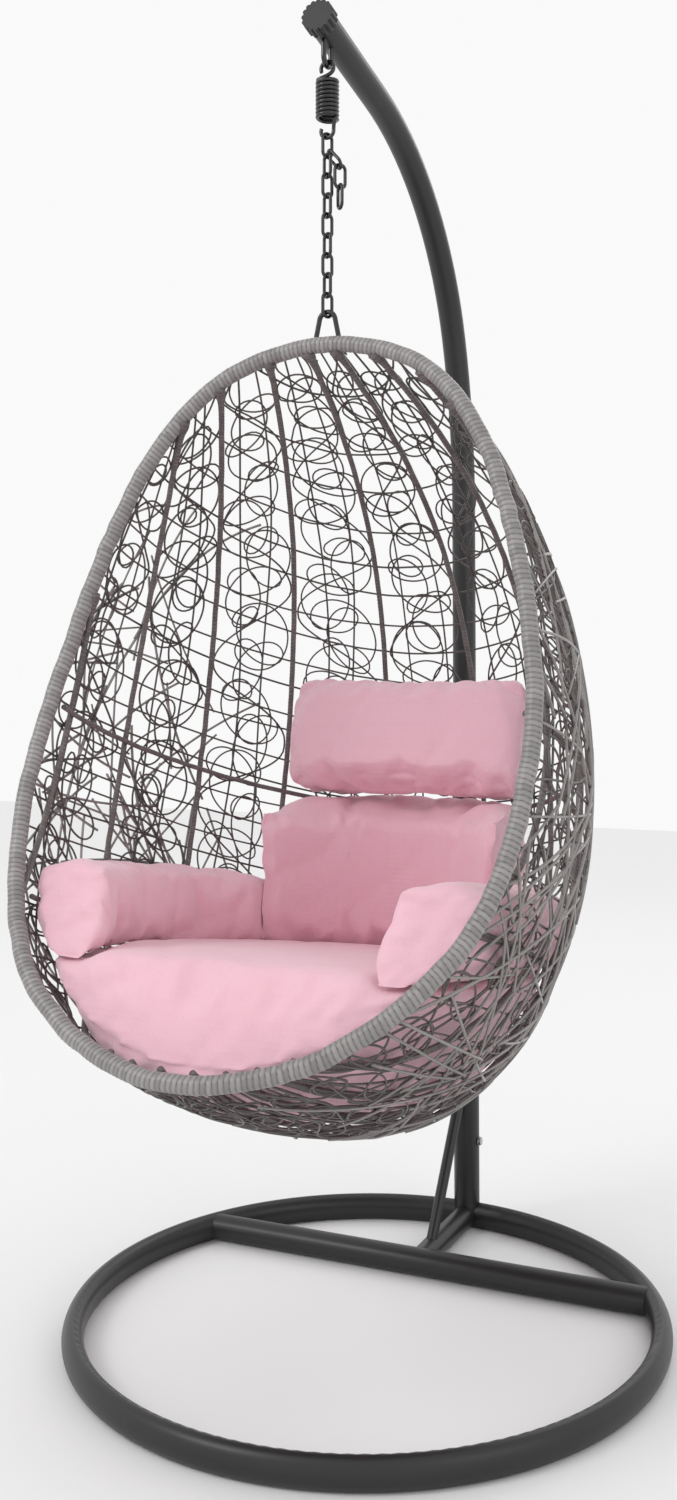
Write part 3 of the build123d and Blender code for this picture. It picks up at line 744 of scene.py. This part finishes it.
def addUprights(one, two, along):
    for share in uprights["shares"]:
        where = np.linspace(uprights["endGap"], along[-1] - uprights["endGap"], uprights["points"])
        drift = (share + uprights["sway"] * np.sin(where / uprights["swayLength"] + weaveRng.uniform(0, 6))
                 + weaveRng.uniform(-uprights["jitter"], uprights["jitter"]))
        run = ontoSkin(bayPoints(one, two, along, where, drift), weave["insets"]["uprights"])
        addStrand(uprightMaker, run, uprights["detail"])


def addLoops(one, two, along, widths, column, columns, turnWay, loopMaker):
    length = along[-1]
    loops = int(length / loopSizes["step"])
    turn = np.linspace(0, loops * 2 * math.pi, loops * loopSizes["points"])
    phase = weaveRng.uniform(-loopSizes["phase"], loopSizes["phase"])
    size = np.interp(turn, np.linspace(0, turn[-1], loops * 2 + 1),
                     weaveRng.uniform(*loopSizes["spread"], loops * 2 + 1))
    where = (loopSizes["bayGap"] + (length - 2 * loopSizes["bayGap"]) * turn / turn[-1]
             - loopSizes["half"] * size * np.sin(turn + phase))
    where = np.clip(where, loopSizes["endGap"], length - loopSizes["endGap"])
    width = np.interp(where, along, widths)
    reach = np.minimum(loopSizes["half"] * size, width * loopSizes["widest"] / columns)
    sway = loopSizes["sway"] * np.sin(turn / loopSizes["swayTurns"] + weaveRng.uniform(0, 6))
    middle = (column + 0.5) / columns + sway / columns
    share = np.clip(middle + turnWay * reach * np.cos(turn + phase) / np.maximum(width, 0.01), 0.0, 1.0)
    inset = weave["insets"]["loops"] + loopSizes["lift"] * np.sin(turn * loopSizes["liftTurns"])
    addStrand(loopMaker, ontoSkin(bayPoints(one, two, along, where, share), inset), loopSizes["detail"])


def addDiagonals(one, two, along):
    length = along[-1]
    for start in weaveRng.uniform(0, 1, diagonals["count"]):
        where = np.linspace(diagonals["endGap"], length - diagonals["endGap"],
                            int(length / diagonals["spacing"]))
        sway = 2 * np.abs(((where / diagonals["step"] + start) % 1) * 2 - 1) - 1
        wobble = diagonals["wobble"] * np.sin(where / diagonals["wobbleLength"] + start)
        share = 0.5 + diagonals["reach"] * np.sin(sway * diagonals["roundness"] + wobble)
        run = ontoSkin(bayPoints(one, two, along, where, share), weave["insets"]["diagonals"])
        addStrand(uprightMaker, run, diagonals["detail"])


uprightMaker, loopMakers = TubeMaker(6), {"left": TubeMaker(5), "right": TubeMaker(5)}
for bay in range(len(allRails) - 1):
    one, two, along = bayFrame(allRails[bay], allRails[bay + 1])
    widths = np.linalg.norm(one - two, axis=1)
    loopMaker = loopMakers["left" if bay < (len(allRails) - 1) / 2 else "right"]
    columns = 2 if widths.max() > bays["twoColumns"] else 1
    addUprights(one, two, along)
    for column in range(columns):
        for turnWay in (1, -1):
            addLoops(one, two, along, widths, column, columns, turnWay, loopMaker)
    addDiagonals(one, two, along)
uprightPiece = uprightMaker.finish("weaveUprights", strand)

# long strands drawn over the outside in every direction, thickest low down on both sides
outer = {
    "count": 230,
    "radius": 0.0020,
    "radiusSpread": (0.85, 1.15),
    "lift": 0.0032,
    "liftSpread": (0.2, 1.0),
    "sideTurn": (1.15, 2.5),  # radians round from the back, for the side walls
    "sideRise": (-0.9, 0.85),
    "lowTurn": (-2.4, 2.4),
    "lowRise": (-1.4, -0.5),
    "halfLength": (0.18, 0.50),
    "bend": (-0.25, 0.25),
    "points": 40,
    "mouthGap": 0.012,
    "lowGap": 0.006,
    "highGap": 0.012,
    "detail": 0.010,
    "tones": (0.3, 1),
}
outerMaker = TubeMaker(6)
for item in range(outer["count"]):
    if item % 3:  # two in three lie on the side walls, the others under the seat
        turn = weaveRng.choice([-1, 1]) * weaveRng.uniform(*outer["sideTurn"])
        rise = weaveRng.uniform(*outer["sideRise"])
    else:
        turn, rise = weaveRng.uniform(*outer["lowTurn"]), weaveRng.uniform(*outer["lowRise"])
    first = np.array([math.sin(turn) * math.cos(rise), math.cos(turn) * math.cos(rise), math.sin(rise)])
    heading = weaveRng.uniform(0, math.pi)
    east = np.array([math.cos(turn), -math.sin(turn), 0])
    ahead = east * math.cos(heading) + np.cross(first, east) * math.sin(heading)
    half = weaveRng.uniform(*outer["halfLength"])
    angles = np.linspace(-half, half, outer["points"])[:, None]
    bend = weaveRng.uniform(*outer["bend"]) * (angles ** 2)
    path = eggCentre + first * np.cos(angles) + ahead * np.sin(angles) + np.cross(first, ahead) * bend
    path = ontoEgg(path)
    clear = (behindMouth(path, outer["mouthGap"]) & (path[:, 2] > eggLow + outer["lowGap"])
             & (path[:, 2] < eggHigh - outer["highGap"]))
    for run in splitRuns(path, clear):
        lift = -outer["lift"] * weaveRng.uniform(*outer["liftSpread"])
        outerMaker.add(evenly(ontoSkin(run, lift), outer["detail"]),
                       outer["radius"] * weaveRng.uniform(*outer["radiusSpread"]),
                       bandTone=weaveRng.uniform(*outer["tones"]), gap=0.0)
# the outer strands take the lighter strand colour, a painted highlight
outerPiece = outerMaker.finish("outerStrands", outerStrandPaintedHighlight)
weavePieces = [rowPiece, uprightPiece, outerPiece]
weavePieces += [maker.finish(f"{side}WeaveLoops", strand) for side, maker in loopMakers.items()]
for piece in weavePieces:
    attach(piece, "basket")
    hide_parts("woven_shell")
    print(piece.name, len(piece.data.polygons) * 2, "triangles")

# cushions
cushions = {  # thick: the way through the cushion; seams: how far the cover faces that way where it is sewn
    "seat_cushion": {"voxel": 0.0115, "thick": (0, 0, 1), "seams": (-0.55, 0.45),
                     "growth": 0.09, "fill": 0.7},
    "left_arm_cushion": {"voxel": 0.010, "thick": (1, 0.2, 0.5), "seams": (0.0,),
                         "growth": 0.09, "fill": 0.7},
    "right_arm_cushion": {"voxel": 0.010, "thick": (-1, 0.2, 0.5), "seams": (0.0,),
                          "growth": 0.09, "fill": 0.7},
    "back_cushion": {"voxel": 0.010, "thick": (0, -1, 0.2), "seams": (0.0,),
                     "growth": 0.09, "fill": 0.7},
    "headrest_pillow": {"voxel": 0.0070, "thick": (0, -1, 0.15), "seams": (0.0,),
                        "growth": 0.10, "fill": 0.65},
}
cloth = {
    "frames": 18,
    "quality": 5,
    "mass": 0.25,
    "pressure": 5.0,
    "bending": 0.12,
    "shear": 4.0,
    "tension": 12.0,
    "inset": 0.0016,  # the cover starts this far inside the plain cushion
    "outMost": 0.014,
    "inMost": 0.014,
    "sideMost": 0.012,
    "clear": 0.0012,  # kept from every neighbour
    "seamWidth": 0.16,
    "seamSlope": 1.5,
    "heldFrom": 0.6,
    "seamDepth": 0.0030,
}
creases = {
    "puckerSize": 0.032,
    "puckerDepth": 0.0055,
    "puckerWidth": 0.22,
    "seamStretch": 0.12,
    "seamReach": 0.28,
    "foldSize": 0.11,
    "foldDepth": 0.0035,
    "foldWidth": 0.10,
    "foldStretch": 0.35,
    "foldWay": (0.6, 0.35, 0.72),
}
neighbours = ["rim_tube", "woven_shell", "back_hoop", "seat_hoop",
              *[f"rib_{side}_{number}" for side in ("left", "right") for number in range(1, 6)]]


def copyNode(name, pieceName):
    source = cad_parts[name]
    piece = bpy.data.objects.new(pieceName, source.data.copy())
    bpy.context.collection.objects.link(piece)
    bpy.ops.object.select_all(action="DESELECT")
    piece.select_set(True)
    bpy.context.view_layer.objects.active = piece
    bpy.ops.object.mode_set(mode="EDIT")
    bpy.ops.mesh.select_all(action="SELECT")
    bpy.ops.mesh.remove_doubles(threshold=0.0001)
    bpy.ops.object.mode_set(mode="OBJECT")
    return piece


def applyModifier(piece, label, kind, **settings):
    modifier = piece.modifiers.new(label, kind)
    for setting, value in settings.items():
        setattr(modifier, setting, value)
    bpy.ops.object.modifier_apply(modifier=label)


def meshArray(mesh, label):
    values = np.empty(len(mesh.vertices) * 3)
    mesh.vertices.foreach_get(label, values)
    return values.reshape(-1, 3)


def roomAround(name, places, normals):  # how far each point can move outwards before it meets a neighbour
    corners, faces = [], []
    for other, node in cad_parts.items():
        if other != name and (other in cushions or other in neighbours):
            base = len(corners)
            corners += meshArray(node.data, "co").tolist()
            faces += [[base + item for item in face.vertices] for face in node.data.polygons]
    tree = BVHTree.FromPolygons(corners, faces)
    room = np.full(len(places), cloth["outMost"])
    for item, (place, normal) in enumerate(zip(places, normals)):
        hit = tree.ray_cast(Vector(place - normal * 0.0005), Vector(normal), cloth["outMost"] * 2)
        near = tree.find_nearest(Vector(place), cloth["outMost"] * 2)
        for found in (hit, near):
            if found[3] is not None:
                room[item] = min(room[item], max(found[3] - cloth["clear"], 0))
    return room


def creaseDepth(places, thick, facing, seams):  # puckers square to the seams, and a few long folds
    flat = places - np.outer(places @ thick, thick) * (1 - creases["seamStretch"])
    nearSeam = np.max([np.exp(-np.abs(facing - seam) / creases["seamReach"]) for seam in seams], axis=0)
    slant = places @ np.array(creases["foldWay"])
    folded = places - np.outer(slant, creases["foldWay"]) * (1 - creases["foldStretch"])
    depth = np.empty(len(places))
    for item in range(len(places)):
        pucker = abs(noise.noise(Vector(flat[item] / creases["puckerSize"])))
        fold = abs(noise.noise(Vector(folded[item] / creases["foldSize"])))
        depth[item] = (creases["puckerDepth"] * nearSeam[item] * max(0, 1 - pucker / creases["puckerWidth"])
                       + creases["foldDepth"] * max(0, 1 - fold / creases["foldWidth"]))
    return depth


def swellCloth(piece, growth):  # the cover is held at its seams, blown up, and grown so that it puckers
    bpy.context.scene.frame_start, bpy.context.scene.frame_end = 1, cloth["frames"]
    modifier = piece.modifiers.new("cloth", "CLOTH")
    settings = modifier.settings
    settings.quality, settings.mass = cloth["quality"], cloth["mass"]
    settings.tension_stiffness = settings.compression_stiffness = cloth["tension"]
    settings.shear_stiffness, settings.bending_stiffness = cloth["shear"], cloth["bending"]
    settings.use_pressure, settings.uniform_pressure_force = True, cloth["pressure"]
    settings.effector_weights.gravity = 0
    settings.vertex_group_mass = "seam"
    settings.shrink_min = -growth
    modifier.point_cache.frame_start, modifier.point_cache.frame_end = 1, cloth["frames"]
    for moment in range(1, cloth["frames"] + 1):
        bpy.context.scene.frame_set(moment)
    bpy.ops.object.modifier_apply(modifier="cloth")
    bpy.context.scene.frame_set(1)


def placeCover(node, piece, start, normals, inwards):  # how far the cloth has moved, kept within its room
    moved = meshArray(piece.data, "co") - start
    out = (moved * normals).sum(1)
    along = moved - normals * out[:, None]
    length = np.linalg.norm(along, axis=1, keepdims=True)
    along *= np.minimum(1, cloth["sideMost"] / np.maximum(length, 1e-9))
    out = np.clip(out, -cloth["inMost"], roomAround(node, start, normals))
    piece.data.vertices.foreach_set("co", (start + along + normals * (out - inwards)[:, None]).ravel())


for node, values in cushions.items():
    words = node.split("_")
    piece = copyNode(node, words[0] + "".join(word.capitalize() for word in words[1:]))
    applyModifier(piece, "remesh", "REMESH", mode="VOXEL", voxel_size=values["voxel"])
    applyModifier(piece, "smooth", "SMOOTH", factor=0.5, iterations=10)
    start, normals = meshArray(piece.data, "co"), meshArray(piece.data, "normal")
    start -= normals * cloth["inset"]
    piece.data.vertices.foreach_set("co", start.ravel())
    thick = np.array(values["thick"]) / np.linalg.norm(values["thick"])
    facing = normals @ thick
    onSeam = np.zeros(len(start))
    for seam in values["seams"]:
        nearness = cloth["seamSlope"] - np.abs(facing - seam) / cloth["seamWidth"] * cloth["seamSlope"]
        onSeam = np.maximum(onSeam, np.clip(nearness, 0, 1))
    group = piece.vertex_groups.new(name="seam")
    for item in np.nonzero(onSeam > cloth["heldFrom"])[0]:
        group.add([int(item)], 1.0, "REPLACE")
    swellCloth(piece, values["growth"])
    inwards = cloth["seamDepth"] * onSeam ** 2 + creaseDepth(start, thick, facing, values["seams"])
    placeCover(node, piece, start, normals, inwards)
    piece.vertex_groups.clear()
    applyModifier(piece, "soften", "SMOOTH", factor=0.4, iterations=2)
    applyModifier(piece, "finer", "SUBSURF", levels=1, render_levels=1)
    piece.data.materials.clear()
    piece.data.materials.append(cotton)
    bpy.ops.object.shade_smooth()
    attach(piece, "basket")
    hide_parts(node)
    print(piece.name, len(piece.data.polygons), "faces")
print("cushions ready")

# spring: it stretches between the eye and the first link
springPiece = copyNode("suspension_spring", "suspensionSpring")
springPiece.data.materials.clear()
springPiece.data.materials.append(enamel)
bpy.ops.object.shade_smooth()
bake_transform(springPiece)
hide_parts("suspension_spring")

# floor, lights, camera
stage = {"floorSize": 14.0, "floorColor": (0.86, 0.86, 0.86), "floorRoughness": 0.9, "world": 0.95}
lamps = {
    "keyLight": {"place": (-2.2, -3.0, 3.4), "target": (0, -0.1, 1.0), "size": 1.6, "power": 45.0},
    "fillLight": {"place": (3.4, -1.6, 2.2), "target": (0, 0, 1.0), "size": 2.0, "power": 10.0},
    "backLight": {"place": (0.5, 3.2, 3.2), "target": (0, 0, 1.2), "size": 1.5, "power": 10.0},
}
view = {"place": (0.920, -2.069, 1.030), "turn": 23.45, "lens": 34.88, "sensor": 36,
        "shift": (-0.0284, -0.0556)}
bpy.ops.mesh.primitive_plane_add(size=stage["floorSize"], location=(0, 0, 0))
floor = bpy.context.object
floor.name = "floor"
floorMaterial = bpy.data.materials.new("paleFloor")
floorMaterial.use_nodes = True
floorShader = floorMaterial.node_tree.nodes["Principled BSDF"]
floorShader.inputs["Base Color"].default_value = (*stage["floorColor"], 1)
floorShader.inputs["Roughness"].default_value = stage["floorRoughness"]
floor.data.materials.append(floorMaterial)

world = bpy.data.worlds.new("paleRoom")
bpy.context.scene.world = world
world.use_nodes = True
world.node_tree.nodes["Background"].inputs["Color"].default_value = (1, 1, 1, 1)
world.node_tree.nodes["Background"].inputs["Strength"].default_value = stage["world"]

for name, values in lamps.items():
    bpy.ops.object.light_add(type="AREA", location=values["place"])
    lamp = bpy.context.object
    lamp.name = name
    lamp.data.shape, lamp.data.size, lamp.data.energy = "DISK", values["size"], values["power"]
    aim = Vector(values["target"]) - Vector(values["place"])
    lamp.rotation_euler = aim.to_track_quat("-Z", "Y").to_euler()

bpy.ops.object.camera_add(location=view["place"], rotation=(math.radians(90), 0, math.radians(view["turn"])))
camera = bpy.context.object
camera.name = "camera"
camera.data.lens, camera.data.sensor_width = view["lens"], view["sensor"]
camera.data.shift_x, camera.data.shift_y = view["shift"]
bpy.context.scene.camera = camera
bpy.context.scene.view_settings.view_transform = "Standard"
print("stage ready")
